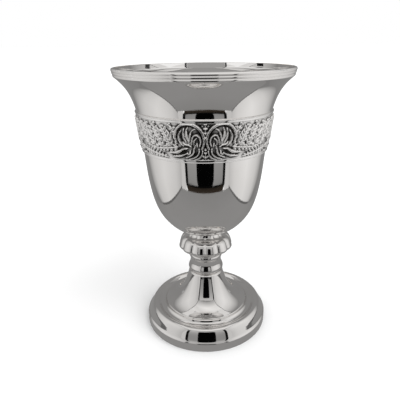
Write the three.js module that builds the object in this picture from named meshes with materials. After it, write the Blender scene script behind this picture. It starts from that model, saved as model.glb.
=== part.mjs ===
import * as THREE from 'three';
import { mergeVertices } from 'three/addons/utils/BufferGeometryUtils.js';

// A raised silver goblet. Millimetres, +Z up, origin at the centre of the foot's underside.
// Azimuth 0 is the -Y side, where one mirror line of the frieze stands.

// Overall sizes
const gobletHeight = 147.7;
const wall = 1.0;                // gauge of the raised bowl and foot
const lipLand = 0.7;             // flat width of the lip between its two edges
const solderGap = 0.1;           // room between the applied frieze and the bowl's wall

// Bowl
const bowlBottom = 58.5;         // height of the flat disc that sits on the knop
const bowlDiscRadius = 8.2;
const bowlOutline = [            // radius and height where the wall changes its sweep
  [15.0, 60.4],
  [20.0, 64.3],
  [24.6, 70.0],
  [28.1, 78.0],
  [30.6, 90.0],
  [32.2, 105.0],
  [34.05, 122.0],
  [35.9, 130.5],
  [38.8, 137.0],
  [42.5, 141.5],
];
const bowlSides = 34;

// Reeded lip: three half-round reeds under a plain upper edge
const reedValleys = [[43.9, 142.9], [45.05, 144.4], [45.6, 145.7], [45.7, 146.9]];
const reedRise = 0.4;
const lipTop = [45.2, gobletHeight];
const lipFaceRadius = 46.2;

// Applied frieze
const friezeBottom = 106.7;
const friezeTop = 127.3;
const friezeSheet = 0.3;         // thickness of the strip behind the relief
const beadWidth = 1.5;
const beadRise = 0.25;
const reliefRise = 1.3;
const friezeRepeats = 3;
const friezeRadius = 34.5;       // nominal radius on which the ornament was laid out
const friezeColumns = 120;
const friezeRows = 7;

// Knop with gadroons
const lobeCount = 12;
const lobeDepth = 0.9;
const lobeTurn = -2.3;           // degrees from azimuth 0 to the nearest valley
const knopSidesPerLobe = 4;
const knopBottom = 43.4;
const knopTop = bowlBottom;
const knopOutline = [
  [9.3, knopBottom],
  [9.4, 44.4],
  [11.2, 45.7],
  [13.8, 47.0],
  [15.4, 48.5],
  [15.3, 50.0],
  [14.65, 52.0],
  [13.85, 53.5],
  [12.5, 54.5],
  [9.8, 55.7],
  [8.6, knopTop],
];
const lobesFrom = 44.6;
const lobesTo = 54.7;

// Collar: a ring above the dome, and a bead under the knop
const collarBottom = 32.0;
const collarSides = 24;
const collarOutline = [
  [9.5, collarBottom],
  [9.8, 33.0],
  [10.15, 34.2],
  [10.05, 35.4],
  [9.2, 37.5],
  [9.0, 40.7],
  [9.4, 41.4],
  [9.5, 42.4],
  [9.3, knopBottom],
];

// Stepped foot, open beneath
const footRadius = 35.85;
const footRing = 1.6;            // width of the ring that the foot stands on
const flangeHeight = 4.3;
const valley = [27.4, 10.2];
const mouldingOutline = [        // an ogee: hollow shoulder, steep face and rounded crown
  [footRadius, flangeHeight],
  [34.5, 5.6],
  [33.4, 7.5],
  [32.6, 9.4],
  [31.3, 10.8],
  [29.7, 10.9],
  valley,
];
const coveCorner = [24.2, 10.2]; // the corner that the cove rounds
const stepEdge = [24.0, 12.8];
const domeSweep = [13.6, 15.2];  // pulls the dome in to its flare
const domeTop = [9.9, collarBottom];
const footSides = 34;

const silver = { color: 0xd8d6d2, roughness: 0.08, metalness: 1 };

function toVectors(points) {
  return points.map(([radius, height]) => new THREE.Vector2(radius, height));
}

function sweep(points, steps) {
  return new THREE.SplineCurve(toVectors(points)).getPoints(steps);
}

// Points of a line moved sideways into the metal, to its left as it climbs
function inside(line, distance) {
  return line.map((point, index) => {
    const before = line[Math.max(index - 1, 0)];
    const after = line[Math.min(index + 1, line.length - 1)];
    const run = after.clone().sub(before).normalize();
    return new THREE.Vector2(point.x - run.y * distance, point.y + run.x * distance);
  });
}

function turned(profile, sides) {
  const geometry = new THREE.LatheGeometry(profile, sides);
  geometry.rotateX(Math.PI / 2);
  geometry.deleteAttribute('normal');
  geometry.deleteAttribute('uv');
  return mergeVertices(geometry, 1e-4);
}

// Moves each vertex out from the axis by what pushOut gives for its azimuth, height and radius
function swell(geometry, pushOut) {
  const place = geometry.attributes.position;
  for (let i = 0; i < place.count; i += 1) {
    const x = place.getX(i);
    const y = place.getY(i);
    const radius = Math.hypot(x, y);
    const out = radius > 0 ? pushOut(Math.atan2(x, -y), place.getZ(i), radius) : 0;
    place.setX(i, x * (1 + out / Math.max(radius, 1)));
    place.setY(i, y * (1 + out / Math.max(radius, 1)));
  }
  return geometry;
}

function sub(name, geometry) {
  geometry.computeVertexNormals();
  const mesh = new THREE.Mesh(geometry, new THREE.MeshStandardMaterial(silver));
  mesh.name = name;
  return mesh;
}

// Radius of the bowl's plain wall at a height
const wallLine = sweep(bowlOutline, 80);
function bowlRadius(height) {
  const above = wallLine.findIndex((point) => point.y >= height);
  const low = wallLine[above - 1];
  const high = wallLine[above];
  return THREE.MathUtils.mapLinear(height, low.y, high.y, low.x, high.x);
}

function bowlWithLip() {
  const line = [[bowlDiscRadius, bowlBottom], ...bowlOutline, reedValleys[0]];
  const spans = line.length - 1;
  const outer = sweep(line, spans * 2);
  const reeds = [];
  for (let i = 1; i < reedValleys.length; i += 1) {
    const [lowRadius, lowHeight] = reedValleys[i - 1];
    const [radius, height] = reedValleys[i];
    reeds.push([(lowRadius + radius) / 2 + reedRise, (lowHeight + height) / 2 - reedRise / 2]);
    reeds.push([radius, height]);
  }
  const face = [lipFaceRadius, (reedValleys.at(-1)[1] + gobletHeight) / 2];
  const lip = toVectors([...reeds, face, lipTop, [lipTop[0] - lipLand, gobletHeight]]);
  const inner = inside(sweep(line, spans), wall);
  inner.push(new THREE.Vector2(lipTop[0] - wall, reedValleys[2][1]));
  inner.reverse();
  const underside = new THREE.Vector2(0, bowlBottom);
  const floor = new THREE.Vector2(0, inner.at(-1).y);
  return sub('bowl', turned([underside, ...outer, ...lip, ...inner, floor], bowlSides));
}

// One band of a scroll: how high the relief stands at (u, v) by its distance from a spiral
function scrollHeight(scroll, u, v) {
  const du = u - scroll.centre[0];
  const dv = v - scroll.centre[1];
  const reach = Math.hypot(du, dv);
  const angle = THREE.MathUtils.radToDeg(Math.atan2(dv, du));
  let best = 0;
  for (let turn = -3; turn <= 3; turn += 1) {
    const along = (angle + turn * 360 - scroll.from) / (scroll.to - scroll.from);
    if (along < 0 || along > 1) continue;
    const radius = THREE.MathUtils.lerp(scroll.radius, scroll.endRadius, along);
    const width = scroll.width * (0.55 + 0.45 * Math.sin(Math.PI * Math.min(along + 0.15, 1)));
    const share = Math.abs(reach - radius) / width;
    if (share < 1) best = Math.max(best, scroll.rise * Math.sqrt(1 - share * share));
  }
  return best;
}

// A leaf that bends from its root to its tip, fullest near the root
function leafHeight(leaf, u, v) {
  const [rootU, rootV] = leaf.root;
  const chord = new THREE.Vector2(leaf.tip[0] - rootU, leaf.tip[1] - rootV);
  const length = chord.length();
  chord.normalize();
  const along = ((u - rootU) * chord.x + (v - rootV) * chord.y) / length;
  if (along < 0 || along > 1) return 0;
  const middle = leaf.bend * Math.sin(Math.PI * along);
  const off = Math.abs((v - rootV) * chord.x - (u - rootU) * chord.y - middle);
  const width = leaf.width * Math.sin(Math.PI * Math.pow(0.08 + 0.92 * along, 0.6));
  return off < width ? leaf.rise * Math.sqrt(1 - (off / width) ** 2) : 0;
}

// The ornament of one half repeat: u runs from the mirror line, v up from the frieze's foot
const scrolls = [
  { centre: [7.2, 11.9], radius: 6.6, endRadius: 6.0, from: 350, to: 140, width: 2.0, rise: 1.3 },
  { centre: [3.9, 11.6], radius: 2.6, endRadius: 1.2, from: 180, to: -180, width: 1.5, rise: 1.1 },
  { centre: [9.6, 7.0], radius: 4.2, endRadius: 3.2, from: 150, to: 290, width: 1.6, rise: 1.0 },
  { centre: [33.2, 10.4], radius: 4.0, endRadius: 1.4, from: 70, to: 430, width: 1.7, rise: 1.2 },
];
const leaves = [
  { root: [3.6, 10.2], tip: [3.6, 6.4], bend: 0, width: 1.5, rise: 0.9 },
  { root: [9.6, 11.0], tip: [8.8, 16.4], bend: 0.6, width: 1.5, rise: 1.1 },
  { root: [9.4, 8.4], tip: [17.6, 5.0], bend: -1.6, width: 1.3, rise: 1.3 },
  { root: [13.0, 10.0], tip: [19.0, 16.2], bend: 1.2, width: 2.1, rise: 1.1 },
  { root: [16.5, 9.6], tip: [23.4, 15.4], bend: 1.4, width: 2.2, rise: 1.2 },
  { root: [20.5, 9.4], tip: [28.4, 16.0], bend: 1.4, width: 2.2, rise: 1.2 },
  { root: [15.5, 10.6], tip: [30.0, 9.0], bend: 1.0, width: 1.7, rise: 1.0 },
  { root: [30.0, 9.0], tip: [24.4, 3.4], bend: -1.0, width: 1.6, rise: 1.0 },
  { root: [32.0, 7.4], tip: [29.4, 2.4], bend: -0.8, width: 1.5, rise: 1.0 },
  { root: [0, 3.4], tip: [3.4, 1.8], bend: 0.6, width: 1.4, rise: 0.9 },
];

function reliefHeight(azimuth, height) {
  const repeat = (2 * Math.PI) / friezeRepeats;
  const folded = Math.abs(azimuth - repeat * Math.round(azimuth / repeat));
  const u = folded * friezeRadius;
  const v = height - friezeBottom;
  const heights = [
    ...scrolls.map((scroll) => scrollHeight(scroll, u, v)),
    ...leaves.map((leaf) => leafHeight(leaf, u, v)),
  ];
  return (Math.max(...heights) / 1.3) * reliefRise;
}

function frieze() {
  const fieldBottom = friezeBottom + beadWidth;
  const fieldTop = friezeTop - beadWidth;
  const outerRadius = (height) => bowlRadius(height) + solderGap + friezeSheet;
  const outer = [[outerRadius(friezeBottom), friezeBottom]];
  outer.push([outerRadius(friezeBottom) + beadRise, friezeBottom + beadWidth / 2]);
  for (let i = 0; i <= friezeRows; i += 1) {
    const height = THREE.MathUtils.lerp(fieldBottom, fieldTop, i / friezeRows);
    outer.push([outerRadius(height), height]);
  }
  outer.push([outerRadius(friezeTop) + beadRise, friezeTop - beadWidth / 2]);
  outer.push([outerRadius(friezeTop), friezeTop]);
  const inner = [friezeTop, (friezeTop + friezeBottom) / 2, friezeBottom]
    .map((height) => [bowlRadius(height) + solderGap, height]);
  const profile = toVectors([...outer, ...inner, outer[0]]);
  const relief = (azimuth, height, radius) => {
    const onField = height > fieldBottom + 0.1 && height < fieldTop - 0.1;
    const onFace = radius > bowlRadius(height) + solderGap + friezeSheet / 2;
    return onField && onFace ? reliefHeight(azimuth, height) : 0;
  };
  return sub('frieze_band', swell(turned(profile, friezeColumns), relief));
}

function knop() {
  const profile = toVectors([[0, knopBottom], ...knopOutline, [0, knopTop]]);
  const middle = (lobesFrom + lobesTo) / 2;
  const valleyAt = (azimuth, height) => {
    const turns = ((azimuth - THREE.MathUtils.degToRad(lobeTurn)) / (2 * Math.PI)) * lobeCount;
    const share = 2 * (turns - Math.floor(turns)) - 1;
    const fade = 1 - (Math.abs(height - middle) / (lobesTo - middle)) ** 2;
    return -lobeDepth * share * share * Math.max(fade, 0);
  };
  const body = turned(profile, lobeCount * knopSidesPerLobe);
  body.rotateZ(THREE.MathUtils.degToRad(lobeTurn));
  return sub('gadrooned_knop', swell(body, valleyAt));
}

function collar() {
  const profile = toVectors([[0, collarBottom], ...collarOutline, [0, knopBottom]]);
  return sub('stem_collar', turned(profile, collarSides));
}

// The foot's upper face from its flange to its collar, with so many steps on each moulding
function footLine(mouldingSteps, coveSteps, domeSteps) {
  const moulding = sweep(mouldingOutline, mouldingSteps);
  const cove = new THREE.QuadraticBezierCurve(...toVectors([valley, coveCorner, stepEdge]));
  const dome = new THREE.QuadraticBezierCurve(...toVectors([stepEdge, domeSweep, domeTop]));
  return [...moulding.slice(0, -1), ...cove.getPoints(coveSteps), ...dome.getPoints(domeSteps).slice(1)];
}

function foot() {
  const outer = [new THREE.Vector2(footRadius, 0), ...footLine(6, 2, 5)];
  const inner = inside(footLine(3, 1, 3), wall);
  inner[0] = new THREE.Vector2(footRadius - footRing, flangeHeight);
  inner.unshift(new THREE.Vector2(footRadius - footRing, 0));
  const roof = collarBottom - wall;
  inner[inner.length - 1] = new THREE.Vector2(domeTop[0] - wall * 1.5, roof);
  inner.push(new THREE.Vector2(0, roof));
  inner.reverse();
  return sub('foot', turned([...inner, ...outer, new THREE.Vector2(0, collarBottom)], footSides));
}

const goblet = new THREE.Group();
goblet.name = 'silver_goblet';
goblet.add(bowlWithLip(), frieze(), knop(), collar(), foot());

export default goblet;
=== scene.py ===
import math

import bpy
import numpy as np
from mathutils import Matrix, Vector


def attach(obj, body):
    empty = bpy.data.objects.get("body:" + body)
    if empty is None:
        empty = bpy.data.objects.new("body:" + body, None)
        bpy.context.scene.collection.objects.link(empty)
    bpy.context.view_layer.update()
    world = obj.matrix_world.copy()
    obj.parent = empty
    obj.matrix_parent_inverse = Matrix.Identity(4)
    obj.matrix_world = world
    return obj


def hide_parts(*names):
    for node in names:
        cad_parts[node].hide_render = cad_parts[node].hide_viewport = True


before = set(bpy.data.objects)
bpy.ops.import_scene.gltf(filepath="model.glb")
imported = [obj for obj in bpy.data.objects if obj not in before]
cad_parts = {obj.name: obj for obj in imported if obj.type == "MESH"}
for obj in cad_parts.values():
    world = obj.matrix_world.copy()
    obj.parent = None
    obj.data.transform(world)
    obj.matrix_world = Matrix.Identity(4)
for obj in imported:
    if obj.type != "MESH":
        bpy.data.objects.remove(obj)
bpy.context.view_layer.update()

# Sizes are in millimetres unless a name says otherwise; meshes are written in metres.
mm = 0.001
scene = bpy.context.scene


def report(stage):
    print("goblet:", stage)


def linear(colour):
    # sRGB turned to linear: a hex value, or three channels from 0 to 1
    if isinstance(colour, str):
        colour = [int(colour[i:i + 2], 16) / 255 for i in (0, 2, 4)]
    return [c / 12.92 if c <= 0.04045 else ((c + 0.055) / 1.055) ** 2.4 for c in colour]


# Lines: a profile is an array of (radius, height) rows

def curveThrough(points, perSpan):
    # a smooth curve through every point, the one that the CAD outlines use too
    p = np.array(points, float)
    last = len(p) - 1
    line = []
    for i in range(last):
        a, b, c, d = p[max(i - 1, 0)], p[i], p[i + 1], p[min(i + 2, last)]
        for t in np.arange(perSpan) / perSpan:
            line.append(0.5 * (2 * b + (c - a) * t + (2 * a - 5 * b + 4 * c - d) * t ** 2
                               + (3 * b - a - 3 * c + d) * t ** 3))
    line.append(p[last])
    return np.array(line)


def evenly(line, step):
    length = np.r_[0, np.cumsum(np.hypot(*np.diff(line, axis=0).T))]
    at = np.linspace(0, length[-1], max(int(round(length[-1] / step)), 2) + 1)
    return np.stack([np.interp(at, length, line[:, k]) for k in (0, 1)], 1)


def bellWeights(count, spread):
    weight = np.exp(-0.5 * (np.arange(-count, count + 1) / spread) ** 2)
    return weight / weight.sum()


def faired(line, reach, step=0.1):
    # a polished wall has no kinks: average along the line over about this reach
    fine = evenly(line, step)
    count = int(3 * reach / step)
    weight = bellWeights(count, reach / step)
    before = 2 * fine[0] - fine[count:0:-1]
    after = 2 * fine[-1] - fine[-2:-count - 2:-1]
    padded = np.vstack([before, fine, after])
    return np.stack([np.convolve(padded[:, k], weight, "valid") for k in (0, 1)], 1)


def pulledArc(start, pull, end, steps):
    # from start to end, drawn towards a third point
    t = np.linspace(0, 1, steps + 1)[:, None]
    start, pull, end = (np.array(p, float) for p in (start, pull, end))
    return (1 - t) ** 2 * start + 2 * t * (1 - t) * pull + t ** 2 * end


def softCorners(corners, radius, steps=4):
    # rounds each inner corner of a polyline, as polishing does
    p = np.array(corners, float)
    line = [p[0]]
    most = 0.45               # of a side, so that two cuts on it never meet
    for before, corner, after in zip(p, p[1:], p[2:]):
        back, on = before - corner, after - corner
        cut = min(radius, most * np.linalg.norm(back), most * np.linalg.norm(on))
        start = corner + back / np.linalg.norm(back) * cut
        end = corner + on / np.linalg.norm(on) * cut
        line.extend(pulledArc(start, corner, end, steps))
    line.append(p[-1])
    return np.array(line)


def heading(line):
    # unit steps along a line
    run = np.gradient(line, axis=0)
    return run / np.linalg.norm(run, axis=1)[:, None]


def offset(line, distance):
    # moved sideways to the left of its direction, into the metal
    run = heading(line)
    return line + np.stack([-run[:, 1], run[:, 0]], 1) * distance


def solidProfile(outline):
    # a smooth outline closed by a flat disc at both ends, for the solid pieces
    line = evenly(curveThrough(outline, perSpan=12), step=0.3)
    return np.vstack([[(0, line[0][1])], line, [(0, line[-1][1])]])


# Meshes

def meshPiece(name, points, faces, material, slotName, *nodes):
    mesh = bpy.data.meshes.new(name)
    mesh.from_pydata([tuple(p) for p in points * mm], [], faces)
    mesh.validate()
    mesh.shade_smooth()
    mesh.materials.append(material)
    piece = bpy.data.objects.new(name, mesh)
    scene.collection.objects.link(piece)
    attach(piece, "root")
    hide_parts(*nodes)
    return piece


def ringFaces(rows, sides, closed):
    faces = []
    last = rows if closed else rows - 1
    for i in range(last):
        low, high = i * sides, (i + 1) % rows * sides
        for j in range(sides):
            k = (j + 1) % sides
            faces.append((low + j, low + k, high + k, high + j))
    return faces


def turned(profile, sides, swell=None, turn=0.0):
    # turns a profile that runs from axis to axis, or is closed on itself, into a body of quads;
    # swell adds to the radius by angle and height
    closed = profile[0][0] > 0
    rings = profile if closed else profile[1:-1]
    angle = np.arange(sides) * 2 * math.pi / sides + turn
    radius = np.repeat(rings[:, 0][:, None], sides, 1)
    height = np.repeat(rings[:, 1][:, None], sides, 1)
    if swell:
        radius = radius + swell(np.broadcast_to(angle, radius.shape), height)
    points = np.stack([radius * np.sin(angle), -radius * np.cos(angle), height], -1)
    points = points.reshape(-1, 3)
    faces = ringFaces(len(rings), sides, closed)
    if not closed:
        first, last = len(points), len(points) + 1
        points = np.vstack([points, [[0, 0, profile[0][1]], [0, 0, profile[-1][1]]]])
        top = (len(rings) - 1) * sides
        for j in range(sides):
            k = (j + 1) % sides
            faces.append((first, k, j))
            faces.append((top + j, top + k, last))
    return points, faces


# Materials

def addNode(tree, kind, settings=None, links=None):
    # a setting is one of the node's own or the value of a socket; a link says what feeds a socket
    node = tree.nodes.new(kind)
    for key, value in (settings or {}).items():
        if isinstance(key, int) or key in node.inputs:
            node.inputs[key].default_value = value
        else:
            setattr(node, key, value)
    for key, source in (links or {}).items():
        tree.links.new(source, node.inputs[key])
    return node


polish = {
    "colour": "f1f0ef",       # sterling silver, faintly warm
    "haze": "eae8e6",         # a little duller, in clouds
    "hazeSize": 11.11,
    "roughness": 0.035,       # mirror from the buffing wheel
    "roughnessShares": (0.7, 1.4),   # between the marks and on them
    "markSpacing": 0.35,      # polishing marks drawn about ten times coarser than real ones
    "markLength": 16.67,
    "markDepth": 0.06,
    "markStrength": 0.06,
}


def polishedSterlingSilver():
    # Raised and buffed on a wheel: a true mirror that is a little warmer than chrome,
    # with hairline marks that run round the axis and only soften the highlights.
    material = bpy.data.materials.new("polished sterling silver")
    material.use_nodes = True
    tree = material.node_tree
    shader = tree.nodes["Principled BSDF"]
    shader.inputs["Metallic"].default_value = 1.0
    place = addNode(tree, "ShaderNodeTexCoord")
    across, along = 1 / mm / polish["markSpacing"], 1 / mm / polish["markLength"]
    stretch = addNode(tree, "ShaderNodeMapping", {"Scale": (along, along, across)},
                      {"Vector": place.outputs["Object"]})
    marks = addNode(tree, "ShaderNodeTexNoise", {"Scale": 1.0, "Detail": 3.0, "Roughness": 0.6},
                    {"Vector": stretch.outputs["Vector"]})
    cloud = addNode(tree, "ShaderNodeTexNoise", {"Scale": 1 / mm / polish["hazeSize"], "Detail": 2.0},
                    {"Vector": place.outputs["Object"]})
    tone = addNode(tree, "ShaderNodeMix", {"data_type": "RGBA", 6: (*linear(polish["colour"]), 1),
                                           7: (*linear(polish["haze"]), 1)},
                   {0: cloud.outputs["Fac"]})
    tree.links.new(tone.outputs[2], shader.inputs["Base Color"])
    least, most = (polish["roughness"] * share for share in polish["roughnessShares"])
    rough = addNode(tree, "ShaderNodeMapRange",
                    {"From Min": 0.3, "From Max": 0.7, "To Min": least, "To Max": most},
                    {"Value": marks.outputs["Fac"]})
    tree.links.new(rough.outputs["Result"], shader.inputs["Roughness"])
    bump = addNode(tree, "ShaderNodeBump",
                   {"Strength": polish["markStrength"], "Distance": polish["markDepth"] * mm},
                   {"Height": marks.outputs["Fac"]})
    tree.links.new(bump.outputs["Normal"], shader.inputs["Normal"])
    return material


chasing = {
    "crest": "f1f0ef",
    "recess": "2e2c2a",       # tarnish and polish left in the hollows, deepened into painted shade
    "clearing": (0.1, 0.5),   # the brightness up to which the metal is dark, and from which it is clear
    "roughness": 0.1,
    "recessRoughness": 0.26,
    "smoothFrom": 0.6,        # the brightness from which the crests are rubbed smooth
    "borderRoughness": 0.045,   # the plain borders are burnished to a mirror
    "grain": 1.0,             # punch marks, drawn about four times coarser than real ones
    "grainDepth": 0.1,
    "grainStrength": 0.15,
}


def castAndChasedSilver():
    # Cast, chased with punches and rubbed bright on the crests: the hollows stay duller, and darker from
    # tarnish and from painted shade.
    material = bpy.data.materials.new("cast and chased silver")
    material.use_nodes = True
    tree = material.node_tree
    shader = tree.nodes["Principled BSDF"]
    shader.inputs["Metallic"].default_value = 1.0
    place = addNode(tree, "ShaderNodeTexCoord")
    brightness = addNode(tree, "ShaderNodeAttribute", {"attribute_name": "brightness"})
    # the lower the brightness attribute, the nearer to the recess colour: tarnish and painted shade
    # together
    dark, clear = chasing["clearing"]
    lift = addNode(tree, "ShaderNodeMapRange", {"From Min": dark, "From Max": clear},
                   {"Value": brightness.outputs["Fac"]})
    tone = addNode(tree, "ShaderNodeMix", {"data_type": "RGBA", 6: (*linear(chasing["recess"]), 1),
                                           7: (*linear(chasing["crest"]), 1)},
                   {0: lift.outputs["Result"]})
    tree.links.new(tone.outputs[2], shader.inputs["Base Color"])
    rough = addNode(tree, "ShaderNodeMapRange",
                    {"From Min": 0.0, "From Max": chasing["smoothFrom"],
                     "To Min": chasing["recessRoughness"], "To Max": chasing["roughness"]},
                    {"Value": brightness.outputs["Fac"]})
    plain = addNode(tree, "ShaderNodeAttribute", {"attribute_name": "plain"})
    finish = addNode(tree, "ShaderNodeMix", {"data_type": "FLOAT", 3: chasing["borderRoughness"]},
                     {0: plain.outputs["Fac"], 2: rough.outputs["Result"]})
    tree.links.new(finish.outputs[0], shader.inputs["Roughness"])
    punch = addNode(tree, "ShaderNodeTexNoise", {"Scale": 1 / mm / chasing["grain"], "Detail": 3.0},
                    {"Vector": place.outputs["Object"]})
    bump = addNode(tree, "ShaderNodeBump",
                   {"Strength": chasing["grainStrength"], "Distance": chasing["grainDepth"] * mm},
                   {"Height": punch.outputs["Fac"]})
    tree.links.new(bump.outputs["Normal"], shader.inputs["Normal"])
    return material


polishedSilver = polishedSterlingSilver()
chasedSilver = castAndChasedSilver()
report("materials made")


# Camera: the photograph's place, a little above the rim and looking down

photoCamera = {
    "sensorWidth": 36,
    "focalPixels": 398.3,
    "imagePixels": 400,
    "distance": 209.6,        # from the goblet's axis, along the floor
    "height": 157.8,
    "tilt": 21.41,            # degrees below level
    "azimuth": -0.6,
    "roll": -0.54,
    "centreOffset": (5.2, 0.5),  # how far right and down the lens axis sits, in pixels
    "nearest": 10,            # the camera sees nothing nearer than this
}


def makeCamera(spec):
    data = bpy.data.cameras.new("camera")
    data.sensor_width = spec["sensorWidth"]
    data.lens = spec["sensorWidth"] * spec["focalPixels"] / spec["imagePixels"]
    right, down = spec["centreOffset"]
    data.shift_x = -right / spec["imagePixels"]
    data.shift_y = down / spec["imagePixels"]
    data.clip_start = spec["nearest"] * mm
    camera = bpy.data.objects.new("camera", data)
    scene.collection.objects.link(camera)
    azimuth = math.radians(spec["azimuth"])
    camera.location = (spec["distance"] * mm * math.sin(azimuth),
                       -spec["distance"] * mm * math.cos(azimuth), spec["height"] * mm)
    around = Matrix.Rotation(azimuth, 3, "Z")
    tilted = Matrix.Rotation(math.radians(90 - spec["tilt"]), 3, "X")
    rolled = Matrix.Rotation(math.radians(spec["roll"]), 3, "Z")
    camera.rotation_euler = (around @ tilted @ rolled).to_euler()
    scene.camera = camera


makeCamera(photoCamera)
report("camera set")


# Bowl with its reeded lip

bowl = {
    "wall": 1.0,
    "disc": (8.2, 58.5),      # edge of the flat bottom that sits on the knop
    "outline": [(15.0, 60.4), (20.0, 64.3), (24.6, 70.0), (28.1, 78.0), (30.6, 90.0), (32.2, 105.0),
                (34.05, 122.0), (35.9, 130.5), (38.7, 137.0), (42.2, 141.4), (44.7, 143.5)],
    "fairing": 2.5,
    # the grooves that bound the lip's three reeds
    "reeds": [(44.7, 143.5), (45.05, 144.75), (45.4, 146.0), (45.7, 147.2)],
    "reedRise": 0.23,
    "reedFlatness": 3,        # power of the reed's arc: more is flatter
    "groove": 0.1,
    "grooveShare": 0.06,      # half width of a groove, as a share of the reed
    # where a reed has its rows, as shares of it: close together beside the grooves
    "reedRows": [0, 0.06, 0.12, 0.18, 0.27, 0.38, 0.5, 0.62, 0.73, 0.82, 0.88, 0.94, 1],
    # over the edge and down inside it
    "lip": [(45.65, 147.5), (45.0, 147.7), (44.45, 147.7), (44.3, 145.0)],
    "lipSoftening": 0.35,
    "flatInside": 6,          # radius of the flat middle of the bowl's floor
    "rowStep": 1.25,
    "innerRowStep": 1.875,
    "sides": 288,
}

wallLine = faired(curveThrough([bowl["disc"], *bowl["outline"]], perSpan=24), reach=bowl["fairing"])


def bowlRadius(height):
    return np.interp(height, wallLine[:, 1], wallLine[:, 0])


def reed(start, end, spec):
    # a flat arc between two narrow grooves
    start, end = np.array(start, float), np.array(end, float)
    run = end - start
    out = np.array([run[1], -run[0]]) / np.linalg.norm(run)
    t = np.array(spec["reedRows"])[:, None]
    arc = 1 - np.abs(2 * t - 1) ** spec["reedFlatness"]
    cut = np.exp(-(t / spec["grooveShare"]) ** 2) + np.exp(-((1 - t) / spec["grooveShare"]) ** 2)
    return start + run * t + out * (spec["reedRise"] * arc - spec["groove"] * cut)


def bowlProfile(spec):
    outer = evenly(wallLine, spec["rowStep"])
    reeds = [reed(low, high, spec)[1:] for low, high in zip(spec["reeds"], spec["reeds"][1:])]
    inner = evenly(offset(wallLine, spec["wall"]), spec["innerRowStep"])[::-1]
    inner = inner[inner[:, 0] > spec["flatInside"]]
    lip = softCorners([spec["reeds"][-1], *spec["lip"], inner[0]], spec["lipSoftening"])[1:-1]
    bottom = spec["disc"][1]
    return np.vstack([[(0, bottom)], outer, *reeds, lip, inner, [(0, bottom + spec["wall"])]])


bowlPoints, bowlFaces = turned(bowlProfile(bowl), bowl["sides"])
meshPiece("raised_bowl", bowlPoints, bowlFaces, polishedSilver, "polished_silver", "bowl")
report("bowl raised")


# Gadrooned knop

knop = {
    "outline": [(9.3, 43.4), (9.4, 44.4), (11.2, 45.7), (13.8, 47.0), (15.3, 48.2), (15.5, 49.1),
                (15.2, 50.3), (14.65, 52.0), (13.85, 53.5), (12.5, 54.5), (10.8, 55.1), (9.4, 56.2),
                (8.6, 58.5)],
    "lobes": 12,
    "lobeDepth": 1.15,
    "lobeTurn": -2.3,         # degrees from the frieze's mirror line to the nearest valley
    "from": 44.6,             # the height at which the lobes start, and at which they end
    "to": 57.0,
    "fadePower": 4,           # more holds the lobes' depth nearer to their ends
    "sides": 288,
}


def gadroons(angle, height):
    # round lobes with sharp valleys, which fade out towards both ends
    turns = (angle - math.radians(knop["lobeTurn"])) / (2 * math.pi) * knop["lobes"]
    share = 2 * (turns - np.floor(turns)) - 1
    middle = (knop["from"] + knop["to"]) / 2
    fade = np.clip(1 - (np.abs(height - middle) / (knop["to"] - middle)) ** knop["fadePower"], 0, 1)
    return -knop["lobeDepth"] * (1 - np.sqrt(np.clip(1 - share ** 2, 0, 1))) * fade


knopPoints, knopFaces = turned(solidProfile(knop["outline"]), knop["sides"], gadroons,
                               math.radians(knop["lobeTurn"]))
meshPiece("gadrooned_ball", knopPoints, knopFaces, polishedSilver, "polished_silver", "gadrooned_knop")
report("knop cast")


# Collar

collar = {
    "outline": [(9.5, 32.0), (9.8, 33.0), (10.15, 34.1), (10.1, 35.2), (9.65, 36.4), (9.2, 37.5),
                (9.0, 39.0), (9.0, 40.7), (9.4, 41.4), (9.55, 42.3), (9.35, 43.4)],
    "sides": 192,
}

collarPoints, collarFaces = turned(solidProfile(collar["outline"]), collar["sides"])
meshPiece("ringed_collar", collarPoints, collarFaces, polishedSilver, "polished_silver", "stem_collar")
report("collar turned")


# Stepped foot

foot = {
    "wall": 1.0,
    # the flat ring that it stands on, from its inner to its outer edge
    "ring": [(34.2, 0.0), (35.2, 0.0), (35.8, 0.0)],
    "flange": (35.85, 4.85),
    # an ogee: a hollow shoulder, a steep face and a narrow rounded crown
    "moulding": [(35.85, 4.95), (35.5, 5.3), (35.12, 5.65), (34.8, 6.1), (34.48, 6.75), (34.03, 7.7),
                 (33.56, 8.7), (33.05, 9.7), (32.4, 10.7), (31.6, 11.45), (30.6, 11.75), (29.5, 11.5),
                 (28.5, 10.85), (27.4, 10.2)],
    "cove": [(27.4, 10.2), (24.5, 10.0), (24.25, 12.5)],
    "step": (24.15, 12.85),
    "dome": [(23.8, 12.9), (13.6, 15.2), (9.9, 32.0)],
    "under": [(34.2, 4.2), (33.0, 6.0), (32.0, 9.6), (30.6, 10.3), (27.2, 9.2), (23.6, 11.6),
              (17.2, 15.2), (12.4, 21.9), (8.6, 31.0)],
    "softening": 0.3,
    "mouldingStep": 0.35,
    "domeStep": 0.7,
    "underStep": 1.2,
    "sides": 288,
}


def footProfile(spec):
    moulding = evenly(curveThrough(spec["moulding"], perSpan=8), spec["mouldingStep"])
    edge = softCorners([*spec["ring"][1:], spec["flange"], moulding[1]], spec["softening"])
    cove = pulledArc(*spec["cove"], steps=10)
    dome = evenly(pulledArc(*spec["dome"], steps=60), spec["domeStep"])
    outer = np.vstack([edge, moulding[2:], cove[1:], [spec["step"]], dome])
    under = evenly(curveThrough(spec["under"], perSpan=6), spec["underStep"])
    inner = np.vstack([[spec["ring"][0]], under])[::-1]
    top = spec["dome"][-1][1]
    return np.vstack([[(0, top - spec["wall"])], inner, outer, [(0, top)]])


footPoints, footFaces = turned(footProfile(foot), foot["sides"])
meshPiece("stepped_foot", footPoints, footFaces, polishedSilver, "polished_silver", "foot")
report("foot turned")


# Frieze: the ornament is drawn once on a flat half repeat, in mm from its mirror line and from its
# lower edge, and is then mirrored and wrapped round the bowl

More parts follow.
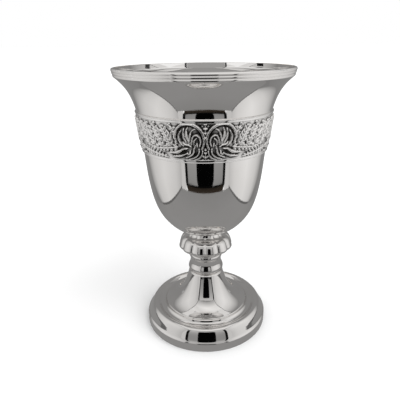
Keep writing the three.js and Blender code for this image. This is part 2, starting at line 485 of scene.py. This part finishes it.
frieze = {
    "bottom": 106.7,
    "top": 126.95,
    "gap": 0.1,               # solder seam between the bowl and the strip
    "sheet": 0.3,
    # the border from its outer edge inwards: a small bead, a groove, a plain fillet; width, rise
    "border": [(0.0, 0.0), (0.03, 0.2), (0.1, 0.34), (0.22, 0.42), (0.34, 0.34), (0.42, 0.24),
               (0.48, 0.22), (0.54, 0.26), (0.62, 0.27), (1.36, 0.27), (1.44, 0.26), (1.5, 0.12),
               (1.54, 0.0)],
    "relief": 1.7,            # the highest crest above the sheet
    "repeats": 3,
    "radius": 34.5,
    "halfColumns": 168,
    "rows": 68,
    # where one form lies on another: how much of the lower one shows through, and the least it fills
    "showThrough": 0.55,
    "bed": 0.12,
    "moat": 0.35,             # width of the chased line round a form, as a share of its half width
    "berryMoat": 0.4,
    "cutFloor": 0.3,          # what that line leaves of its ground
    "fullness": 0.8,          # of a ribbon's section: 1 is a half round, less is fuller
    "fluteDepth": 0.4,
    "berryRim": 0.45,         # height of a berry's edge, as a share of its rise
    "eyeRim": 0.3,            # more makes the deep holes wider at their bottom
    "leaf": {
        "rootShare": 0.12,    # where in its swelling outline a leaflet starts
        "tipWidth": 0.08,     # as a share of its greatest width
        "veinDepth": 0.35,
        "veinWidth": 0.22,
        "rootDrop": 0.35,     # how much lower the root lies than the tip
        "joints": 5,          # straight runs from root to tip
    },
    # leaflets leave the spine between these shares of it; lengths and angles (degrees) vary by so much
    "spray": {"first": 0.04, "last": 0.88, "uneven": 0.18, "sway": 7},
    # the spine's half widths as shares of a leaflet's, and its rise as a share of the leaflets'
    "spine": {"widths": (0.5, 0.45, 0.3), "rise": 1.08},
    # brightness of the metal, tarnish and painted shade in one: on the flat, added by height, added
    # where it stands above what is near
    "shade": 0.46,
    "shadeByHeight": 0.35,
    "shadeByCrest": 2.4,
    "crestReach": 3,          # grid cells

    # path, half width at its start, middle and end, rise, number of flutes
    "ribbons": [
        ([(15.4, 8.8), (16.0, 11.8), (15.4, 14.6), (13.8, 16.8)], (0.2, 0.5, 0.2), 1.0, 1),
        ([(1.3, 6.0), (1.7, 4.2), (3.0, 2.7), (5.0, 1.8)], (0.3, 0.45, 0.2), 1.1, 1),
        ([(2.9, 6.0), (3.4, 4.4), (5.0, 3.0), (7.6, 2.1)], (0.3, 0.45, 0.2), 1.2, 1),
        ([(4.6, 8.4), (5.3, 6.8), (5.6, 5.2), (6.8, 3.8), (9.0, 2.9)], (0.3, 0.45, 0.25), 1.4, 1),
        ([(8.6, 4.9), (10.4, 4.1), (12.6, 3.4), (16.2, 3.1)], (0.3, 0.7, 0.15), 1.4, 1),
        ([(8.4, 7.2), (10.2, 7.0), (11.9, 6.0), (14.0, 5.1), (17.8, 4.8)], (0.3, 0.85, 0.15), 1.7, 1),
        ([(7.2, 5.9), (7.4, 4.7), (8.3, 4.3)], (0.2, 0.35, 0.2), 1.2, 1),
        ([(9.8, 8.2), (11.3, 9.6), (12.1, 11.6), (12.0, 13.6), (11.0, 15.4)], (0.2, 0.45, 0.15), 1.5, 1),
        ([(8.2, 8.6), (9.0, 10.6), (9.8, 12.4), (10.0, 14.6), (9.6, 16.4)], (0.25, 0.5, 0.15), 1.2, 1),
        ([(7.5, 9.0), (7.9, 11.2), (8.6, 13.2), (8.6, 15.2), (8.0, 16.8)], (0.25, 0.6, 0.2), 1.3, 1),
        ([(7.0, 9.2), (7.2, 11.6), (6.9, 13.8), (5.9, 15.6), (4.6, 16.3)], (0.2, 0.4, 0.15), 1.2, 1),
        ([(6.6, 8.0), (7.6, 8.9), (9.3, 9.2), (10.4, 10.2)], (0.25, 0.45, 0.15), 1.6, 1),
        ([(6.3, 9.0), (6.1, 11.6), (5.2, 13.2), (3.8, 13.4), (2.6, 12.2), (2.2, 10.2), (2.7, 8.2)],
         (0.25, 0.42, 0.3), 1.3, 1),
        ([(5.3, 9.0), (5.1, 10.8), (4.1, 11.9)], (0.2, 0.5, 0.2), 0.9, 1),
        ([(3.9, 9.4), (3.6, 8.0), (2.9, 6.8)], (0.15, 0.3, 0.15), 1.2, 1),
        ([(13.6, 9.4), (14.3, 12.4), (13.4, 15.5), (11.2, 17.7), (8.5, 18.6), (5.8, 18.3), (3.4, 16.9),
          (1.5, 14.7), (0.7, 11.8), (0.8, 9.2), (1.6, 6.8)], (0.5, 0.72, 0.45), 1.5, 2),
    ],
    # centre, radius at the start and the end, angle at the start and the end, half width, rise
    "volutes": [
        ((34.0, 11.0), (1.9, 0.7), (-70, 300), 0.45, 1.2),
    ],
    # spine, leaflets a side, longest leaflet on the left and the right of the spine, the angles at
    # which a leaflet leaves the spine and ends, half width, rise
    "fronds": [
        ([(35.4, 4.4), (30.2, 3.8), (24.6, 3.0), (18.4, 2.2)], 8, (2.6, 2.2), (66, 30), 0.7, 1.0),
        ([(13.4, 7.6), (19.0, 6.6), (25.6, 6.2), (33.0, 7.2)], 9, (2.8, 2.4), (64, 30), 0.75, 1.1),
        ([(31.4, 7.6), (33.6, 12.0), (36.4, 17.6)], 6, (3.4, 3.4), (62, 22), 0.85, 1.15),
        ([(26.6, 7.4), (28.6, 11.8), (31.6, 17.4)], 6, (3.6, 3.2), (58, 18), 0.85, 1.2),
        ([(21.8, 7.4), (23.6, 12.0), (26.6, 17.8)], 6, (3.6, 3.2), (60, 20), 0.85, 1.15),
        ([(17.0, 7.8), (18.6, 12.0), (21.4, 17.4)], 6, (3.4, 3.2), (60, 20), 0.85, 1.2),
        ([(14.4, 13.4), (15.2, 15.8), (17.0, 18.2)], 3, (2.2, 2.2), (60, 20), 0.65, 1.2),
        ([(0.0, 0.8), (0.0, 5.4)], 3, (2.2, 2.2), (60, 20), 0.4, 1.1),
        ([(0.0, 13.8), (0.0, 18.8)], 3, (1.8, 1.8), (55, 25), 0.35, 1.1),
    ],
    # centre along and up, radius
    "berries": [(0.0, 6.6, 0.5), (35.9, 12.6, 0.7), (35.7, 1.9, 0.5), (0.0, 12.2, 0.45)],
    # the deep holes between the forms: centre along and up, radius
    "eyes": [(3.2, 7.5, 0.8), (4.6, 8.0, 0.55), (3.6, 11.0, 0.6), (2.1, 6.6, 0.4), (10.8, 13.2, 0.6),
             (10.9, 11.2, 0.5), (7.5, 15.4, 0.6), (6.0, 14.4, 0.5), (5.4, 16.9, 0.45), (7.3, 6.6, 0.6),
             (9.2, 5.9, 0.45), (9.6, 8.2, 0.4), (14.6, 10.8, 0.5), (15.0, 9.0, 0.5), (1.0, 16.8, 0.45),
             (18.6, 10.2, 0.4), (20.8, 12.4, 0.45), (23.2, 9.6, 0.4), (25.2, 13.8, 0.4),
             (27.8, 10.0, 0.35), (29.6, 14.6, 0.45), (33.2, 9.4, 0.4), (21.0, 4.9, 0.35),
             (27.4, 4.7, 0.35), (6.6, 1.0, 0.4)],
}


def alongPath(path, u, v):
    # for each point of the grid: how far off the path it lies, signed, and how far along it, 0 to 1
    fine = evenly(curveThrough(path, perSpan=10), step=0.25)
    best = np.full(u.shape, np.inf)
    off = np.zeros(u.shape)
    share = np.zeros(u.shape)
    for i, ((pu, pv), (ru, rv)) in enumerate(zip(fine, heading(fine))):
        du, dv = u - pu, v - pv
        reach = np.hypot(du, dv)
        near = reach < best
        best = np.where(near, reach, best)
        off = np.where(near, np.copysign(reach, ru * dv - rv * du), off)
        share = np.where(near, i / (len(fine) - 1), share)
    return off, share


def roundSection(across):
    # a round section, from 1 in the middle to 0 at both edges
    return np.sqrt(np.clip(1 - across ** 2, 0, 1))


def lay(ground, across, height, moat):
    # puts one form over the others: it hides them, and a chased line is cut round it;
    # across is 0 on the form's middle line and 1 at its edge
    inside = np.abs(across) < 1
    beside = np.clip((np.abs(across) - 1) / moat, 0, 1)
    bed = ground * frieze["showThrough"] + frieze["bed"]
    cut = frieze["cutFloor"] + (1 - frieze["cutFloor"]) * beside
    return np.where(inside, np.maximum(height, bed), ground * cut)


def layRibbon(ground, u, v, path, widths, rise, flutes):
    off, share = alongPath(path, u, v)
    across = off / np.interp(share, (0, 0.5, 1), widths)
    section = roundSection(across) ** frieze["fullness"]
    if flutes > 1:
        crests = 0.5 + 0.5 * np.cos((across + 1) * np.pi * flutes + np.pi)
        section = section * (1 - frieze["fluteDepth"] + frieze["fluteDepth"] * crests)
    return lay(ground, across, rise * section, frieze["moat"])


def layBerry(ground, u, v, centreU, centreV, radius, rise=1.3):
    across = np.hypot(u - centreU, v - centreV) / radius
    rim = frieze["berryRim"]
    return lay(ground, across, rise * (rim + (1 - rim) * roundSection(across)), frieze["berryMoat"])


def layVolute(ground, u, v, centre, radii, angles, width, rise):
    # a ribbon rolled up round a berry
    steps = 28
    turn = np.radians(np.linspace(*angles, steps))
    reach = np.linspace(*radii, steps)
    path = np.stack([centre[0] + reach * np.cos(turn), centre[1] + reach * np.sin(turn)], 1)
    ground = layRibbon(ground, u, v, path, (width, width * 0.85, width * 0.6), rise, 1)
    return layBerry(ground, u, v, *centre, width * 0.8, rise * 1.05)


def layLeaflet(ground, u, v, path, width, rise):
    # widest before its middle and pointed at the tip, with a vein, and lifting towards the tip
    leaf = frieze["leaf"]
    off, share = alongPath(path, u, v)
    root = leaf["rootShare"]
    swelling = np.sin(np.pi * np.clip(root + (1 - root) * share, 0, 1) ** 0.8)
    across = off / (width * np.clip(swelling, leaf["tipWidth"], 1))
    vein = 1 - leaf["veinDepth"] * np.exp(-(across / leaf["veinWidth"]) ** 2)
    curl = 1 - leaf["rootDrop"] + leaf["rootDrop"] * share
    return lay(ground, across, rise * curl * roundSection(across) * vein, frieze["moat"])


def layFrond(ground, u, v, spine, count, lengths, splay, width, rise):
    # leaflets in pairs up a spine; leaves cut by hand are never quite alike
    spray, joints = frieze["spray"], frieze["leaf"]["joints"]
    line = evenly(curveThrough(spine, perSpan=10), step=0.2)
    run = heading(line)
    bearing = np.arctan2(run[:, 1], run[:, 0])
    for pair in range(count):
        share = spray["first"] + (spray["last"] - spray["first"]) * pair / (count - 1)
        i = int(share * (len(line) - 1))
        grow = math.sin(math.pi * (0.3 + 0.6 * share))   # longest a third of the way up
        uneven = 1 + spray["uneven"] * math.sin(2.3 * pair + spine[0][0])
        sway = spray["sway"] * math.sin(1.7 * pair + spine[0][1])
        for side, longest in zip((1, -1), lengths):
            length = longest * grow * uneven
            path = [line[i]]
            for k in range(joints):
                turn = splay[0] + (splay[1] - splay[0]) * k / (joints - 1) + sway
                bend = bearing[i] + side * math.radians(turn)
                path.append(path[-1] + np.array([math.cos(bend), math.sin(bend)]) * length / joints)
            ground = layLeaflet(ground, u, v, path, width * (0.75 + 0.35 * grow), rise)
    widths = [width * share for share in frieze["spine"]["widths"]]
    return layRibbon(ground, u, v, line[::4], widths, rise * frieze["spine"]["rise"], 1)


def blurred(field, cells):
    weight = bellWeights(3 * cells, cells)
    for axis in (0, 1):
        padded = np.pad(field, [(3 * cells, 3 * cells) if a == axis else (0, 0) for a in (0, 1)], "edge")
        field = np.apply_along_axis(lambda line: np.convolve(line, weight, "valid"), axis, padded)
    return field


def halfRepeat(spec):
    # rows of the field between the borders, columns from the mirror line to the next one
    width = math.pi * spec["radius"] / spec["repeats"]
    border = spec["border"][-1][0]
    rows = np.arange(1, spec["rows"] + 1) / (spec["rows"] + 1)
    columns = np.arange(spec["halfColumns"] + 1) / spec["halfColumns"]
    u, v = np.meshgrid(columns * width, border + (spec["top"] - spec["bottom"] - 2 * border) * rows)
    ground = np.zeros(u.shape)
    # later forms lie over earlier ones
    for kind, layForm in (("fronds", layFrond), ("volutes", layVolute), ("ribbons", layRibbon),
                          ("berries", layBerry)):
        for form in spec[kind]:
            ground = layForm(ground, u, v, *form)
    for centreU, centreV, radius in spec["eyes"]:
        across = np.hypot(u - centreU, v - centreV) / radius
        ground = ground * np.clip(across ** 2 - spec["eyeRim"], 0, 1)
    return ground / ground.max()


def mirroredRound(field, repeats):
    return np.tile(np.hstack([field[:, :-1], field[:, :0:-1]]), repeats)


def makeFrieze(spec):
    half = halfRepeat(spec)
    # painted shade together with the tarnish: the lower a point lies, and the deeper below what is near
    # it, the darker its colour
    crest = half - blurred(half, spec["crestReach"])
    brightness = spec["shade"] + spec["shadeByHeight"] * half + spec["shadeByCrest"] * crest
    brightness = mirroredRound(np.clip(brightness, 0, 1), spec["repeats"])
    relief = mirroredRound(half, spec["repeats"]) * spec["relief"]
    bottom, top = spec["bottom"], spec["top"]
    width, rise = np.array(spec["border"]).T
    field = np.linspace(bottom + width[-1], top - width[-1], spec["rows"] + 2)[1:-1]
    z = np.r_[bottom + width, field, top - width[::-1]]
    r = bowlRadius(z) + spec["gap"] + spec["sheet"] + np.r_[rise, np.zeros_like(field), rise[::-1]]
    backZ = np.array([top, (top + bottom) / 2, bottom])
    profile = np.vstack([np.stack([r, z], 1), np.stack([bowlRadius(backZ) + spec["gap"], backZ], 1)])
    first, last = len(width), len(width) + len(field)
    lift = np.zeros((len(profile), relief.shape[1]))
    lift[first:last] = relief
    shown = np.ones(lift.shape)
    shown[first:last] = brightness
    plain = np.ones(lift.shape)
    plain[first - 1:last + 1] = 0
    points, faces = turned(profile, lift.shape[1], lambda angle, height: lift)
    piece = meshPiece("scroll_frieze", points, faces, chasedSilver, "chased_silver", "frieze_band")
    for name, values in (("brightness", shown), ("plain", plain)):
        layer = piece.data.attributes.new(name, "FLOAT", "POINT")
        layer.data.foreach_set("value", values.ravel().astype(np.float32))


makeFrieze(frieze)
report("frieze chased")


# Studio: a white floor for the camera, and a light tent that only the silver sees. Its panels glow.
# A level is the brightness that a panel shows in the silver, 0 to 255 in sRGB; y is negative in front.

tent = {
    "metalLoss": 0.91,        # what the silver gives back of a panel's own level
    "warmth": 0.005,          # added to the red and taken from the blue
    "halfWidth": 126,
    "lean": 0.26,             # how far the side panels lean in, for each mm of height
    "sideShare": 0.955,       # of the levels below
    "front": -157,
    "frontCurve": 578,        # the front bends towards the goblet by x squared over this
    "back": 96,
    "floor": (124, 8),        # level at the front and the back, and what the middle has more
    "floorDrop": 0.3,         # the tent's floor lies just under the paper, which the silver doesn't see
    "outerDrop": 0.4,
    # behind the goblet the floor sweeps up: y, level, z
    "sweep": [(96, 122, 0), (160, 124, 0), (230, 124, 40), (260, 126, 140), (265, 130, 420)],
    "wing": (-140, 96, 300, 118),   # the floor beside the tent: y from and to, width, level
    # along the side panels' top edge: y, height
    "eaves": [(-150, 115), (-90, 137), (-30, 147), (15, 165), (96, 190)],
    # where the side panels end towards the back: height, y
    "backEdge": [(0, 30), (24, 52), (60, 68), (100, 82), (165, 96)],
    # for each y of the eaves, level at the foot, the middle and the top of the left and the right panel
    "sideLevels": {
        -1: [(164, 172, 168), (194, 204, 198), (208, 216, 208), (192, 200, 192), (122, 124, 122)],
        1: [(174, 186, 180), (204, 214, 206), (214, 226, 218), (196, 206, 198), (124, 126, 124)],
    },
    # where side and ceiling are sewn together: its edges outside and inside, slope, drop, level
    "seam": (-2, 4, 0.4, 0.5, 70),
    "hem": (-60, 30, 7, 92),  # along the side panels' foot: y where it bends and ends, height, level
    "ridgeRise": 22,
    # for each of the first eaves, level at the left edge, the ridge and the right edge
    "ceilingLevels": [(140, 158, 140), (200, 226, 205), (214, 205, 214)],
    # the bright strips inside the eaves: x of the inner edge as a share of the eave's, rise, level
    "eaveStrip": (0.62, 8, 205),
    "overheadHeight": 340,
    # level across the cloth overhead: x, level; behind the goblet it turns to one grey
    "overhead": [(-420, 190), (-136, 190), (-129, 40), (-118, 40), (-112, 190), (-60, 200), (-56, 50),
                 (-52, 140), (52, 140), (56, 50), (60, 200), (112, 190), (118, 40), (129, 40),
                 (136, 190), (420, 190)],
    "overheadGrey": 128,
    "overheadShare": [(-300, 1), (60, 1), (110, 0), (400, 0)],   # y, share of the levels above
    "lamp": (46, 98, 168, 236, 214, 0.04),   # half width, y, z from and to, level, warmth
    # cards just over the mouth, which only the inside of the rim reflects: middle x, y, lower edge,
    # half width, height, turned edge-on to the camera or not, level
    "rimCards": [
        (-3, -20, 148.5, 21, 50, False, 150),
        (20, -20.5, 148.5, 1.3, 50, False, 40),
        (-26, -20.5, 148.5, 1.3, 50, False, 40),
        (-9, -20.5, 150, 1.6, 8, False, 50),
        (-17, 27, 150, 3, 9, True, 10),
        (15, 27, 148.5, 2, 9, True, 60),
        (-39, 30, 148.5, 1.4, 12, False, 50),
    ],
    # upright panels on the bent front, each hung a little ahead of those behind it: left, right,
    # lower and upper edge, level at these two, how far ahead, corner radius, warmth
    "frontPanels": [
        ("tent_wing_front", -140, -97, 0, 150, (186, 186), -0.3, 0, 0.005),
        ("tent_wing_front", 97, 140, 0, 150, (186, 186), -0.3, 0, 0.005),
        ("tent_lid", -98, 98, 112, 146, (146, 152), -0.6, 0, 0.005),
        ("tent_opening_edge", -98, 98, 0, 127, (14, 14), 0.0, 14, 0.005),
        ("tent_opening", -85, 85, 2, 124, (118, 182), 0.4, 12, 0.005),
        ("tent_table", -91, 91, -0.3, 15, (42, 30), 0.8, 0, 0.16),
        ("tent_table_edge", -89, 89, 13, 17, (8, 8), 1.2, 0, 0.005),
        ("tent_dark", -40, 40, 17, 98, (3, 3), 1.6, 10, 0.005),
    ],
}


def glowing(name):
    # emission read from the panel's own corners
    material = bpy.data.materials.new(name)
    material.use_nodes = True
    tree = material.node_tree
    tree.nodes.remove(tree.nodes["Principled BSDF"])
    level = addNode(tree, "ShaderNodeAttribute", {"attribute_name": "glow"})
    light = addNode(tree, "ShaderNodeEmission", links={"Color": level.outputs["Color"]})
    tree.links.new(light.outputs[0], tree.nodes["Material Output"].inputs["Surface"])
    return material


panelGlow = glowing("lit fabric")


def levelColour(level, warmth):
    brightness = level / tent["metalLoss"] / 255
    return linear([min(brightness * tint, 1) for tint in (1 + warmth, 1, 1 - warmth)])


def panel(name, grid, warmth=tent["warmth"]):
    # a glowing sheet from rows of corners, each one x, y, z, level
    rows, columns = len(grid), len(grid[0])
    corners = [corner for row in grid for corner in row]
    faces = [(i * columns + j, i * columns + j + 1, (i + 1) * columns + j + 1, (i + 1) * columns + j)
             for i in range(rows - 1) for j in range(columns - 1)]
    mesh = bpy.data.meshes.new(name)
    mesh.from_pydata([(x * mm, y * mm, z * mm) for x, y, z, level in corners], [], faces)
    colours = mesh.attributes.new("glow", "FLOAT_COLOR", "POINT")
    channels = [c for x, y, z, level in corners for c in (*levelColour(level, warmth), 1)]
    colours.data.foreach_set("color", channels)
    mesh.materials.append(panelGlow)
    thing = bpy.data.objects.new(name, mesh)
    scene.collection.objects.link(thing)
    thing.visible_camera = False
    thing.visible_diffuse = False
    thing.visible_shadow = False


def frontY(x):
    return tent["front"] + x * x / tent["frontCurve"]


def sideX(side, z):
    return side * (tent["halfWidth"] - tent["lean"] * z)


def frontPanel(name, left, right, low, high, levels, ahead, corner, warmth):
    columns = 24
    grid = []
    # rows close together at both ends, for the rounded corners
    for share in (0, 0.02, 0.05, 0.1, 0.2, 0.5, 0.8, 0.9, 0.95, 0.98, 1):
        row = []
        for j in range(columns + 1):
            x = left + (right - left) * j / columns
            inset = max(corner - (x - left), corner - (right - x), 0)
            cut = corner - math.sqrt(max(corner ** 2 - inset ** 2, 0))
            z = low + cut + (high - low - 2 * cut) * share
            row.append((x, frontY(x) + ahead, z, levels[0] + (levels[1] - levels[0]) * share))
        grid.append(row)
    panel(name, grid, warmth)


def makeGround(spec):
    half, back = spec["halfWidth"], spec["back"]
    level, more = spec["floor"]
    panel("tent_floor", [[(half * s, frontY(half * s) * (1 - t) + back * t, -spec["floorDrop"],
                           level + more * math.sin(math.pi * t))
                          for s in np.linspace(-1, 1, 9)] for t in (0, 0.3, 0.6, 1)])
    panel("tent_sweep", [[(x, y, z - spec["outerDrop"], level) for x in (-420, -136, 0, 136, 420)]
                         for y, level, z in spec["sweep"]])


def makeSide(spec, side):
    # the floor outside, the leaning panel, the seam along its top and the hem along its foot
    near, far, width, level = spec["wing"]
    half = spec["halfWidth"]
    panel("tent_wing", [[(side * (half + out), y, -spec["outerDrop"], level) for out in (0, width)]
                        for y in (near, far)])
    grid = []
    for t in (0, 0.12, 0.3, 0.5, 0.75, 1):
        row = []
        for (y, z), levels in zip(spec["eaves"], spec["sideLevels"][side]):
            height = z * t
            end = np.interp(height, *zip(*spec["backEdge"]))
            level = spec["sideShare"] * np.interp(t, (0, 0.5, 1), levels)
            row.append((sideX(side, height), min(y, end), height, level))
        grid.append(row)
    panel("tent_side", grid)
    outside, inside, slope, drop, level = spec["seam"]
    panel("tent_seam", [[(sideX(side, z) - side * inner, y, z + slope * inner - drop, level)
                         for y, z in spec["eaves"]] for inner in (outside, inside)])
    middle, end, height, level = spec["hem"]
    panel("tent_hem", [[(sideX(side, z) - side, y, z, level) for y in (frontY(half), middle, end)]
                       for z in (0, height)])


def makeRoof(spec):
    panel("tent_ceiling", [[(sideX(s, z) if s else 0, y, z if s else z + spec["ridgeRise"], level)
                            for s, level in zip((-1, 0, 1), levels)]
                           for (y, z), levels in zip(spec["eaves"], spec["ceilingLevels"])])
    share, rise, level = spec["eaveStrip"]
    for side in (-1, 1):
        panel("tent_eave", [[(sideX(side, z) * keep, y, z + rise * (1 - keep), level)
                             for keep in (1, share)] for y, z in spec["eaves"][2:]])
    grey, height = spec["overheadGrey"], spec["overheadHeight"]
    panel("tent_overhead", [[(x, y, height, level * near + grey * (1 - near))
                             for x, level in spec["overhead"]] for y, near in spec["overheadShare"]])
    half, y, low, high, level, warmth = spec["lamp"]
    panel("tent_lamp", [[(x, y, z, level) for x in (-half, half)] for z in (low, high)], warmth)


def makeTent(spec):
    makeGround(spec)
    for side in (-1, 1):
        makeSide(spec, side)
    makeRoof(spec)
    for x, y, low, half, height, edgeOn, level in spec["rimCards"]:
        dx, dy = (0, half) if edgeOn else (half, 0)
        panel("tent_rim_card", [[(x + s * dx, y + s * dy, z, level) for s in (-1, 1)]
                                for z in (low, low + height)])
    for row in spec["frontPanels"]:
        frontPanel(*row)


studio = {
    "floorHalf": 30,          # metres, so that its edge is never seen
    "paper": 0.86,
    "paperRoughness": 0.9,
    "keyAngle": 55,           # degrees the lamp spans, for a soft shadow
    "keyFrom": (52, 48),      # degrees of azimuth from the front towards the right, and of height
    "keyStrength": 1.7,
    "bounces": 24,            # light runs round inside the polished bowl many times
}


def makeFloor(spec):
    # white drawing paper: matt, with no sheen, and the silver doesn't see it
    paper = bpy.data.materials.new("white paper")
    paper.use_nodes = True
    shader = paper.node_tree.nodes["Principled BSDF"]
    shader.inputs["Roughness"].default_value = spec["paperRoughness"]
    shader.inputs["Specular IOR Level"].default_value = 0.0
    shader.inputs["Base Color"].default_value = (spec["paper"], spec["paper"], spec["paper"], 1)
    mesh = bpy.data.meshes.new("studio_floor")
    half = spec["floorHalf"]
    corners = [(-half, -half, 0), (half, -half, 0), (half, half, 0), (-half, half, 0)]
    mesh.from_pydata(corners, [], [(0, 1, 2, 3)])
    mesh.materials.append(paper)
    floor = bpy.data.objects.new("studio_floor", mesh)
    scene.collection.objects.link(floor)
    floor.visible_glossy = False


def makeLight(spec):
    world = bpy.data.worlds.new("studio")
    scene.world = world
    world.use_nodes = True
    world.node_tree.nodes["Background"].inputs["Color"].default_value = (1, 1, 1, 1)
    lamp = bpy.data.lights.new("soft_key", "SUN")
    lamp.angle = math.radians(spec["keyAngle"])
    lamp.energy = spec["keyStrength"]
    key = bpy.data.objects.new("soft_key", lamp)
    scene.collection.objects.link(key)
    azimuth, height = (math.radians(a) for a in spec["keyFrom"])
    towards = Vector((math.sin(azimuth) * math.cos(height), -math.cos(azimuth) * math.cos(height),
                      math.sin(height)))
    key.rotation_euler = towards.to_track_quat("Z", "Y").to_euler()
    key.visible_glossy = False


def setRendering(spec):
    scene.view_settings.view_transform = "Standard"
    scene.cycles.caustics_reflective = False
    scene.cycles.caustics_refractive = False
    scene.cycles.max_bounces = spec["bounces"]
    scene.cycles.glossy_bounces = spec["bounces"]


makeTent(tent)
makeFloor(studio)
makeLight(studio)
setRendering(studio)
report("studio lit")

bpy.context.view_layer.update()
report("done")
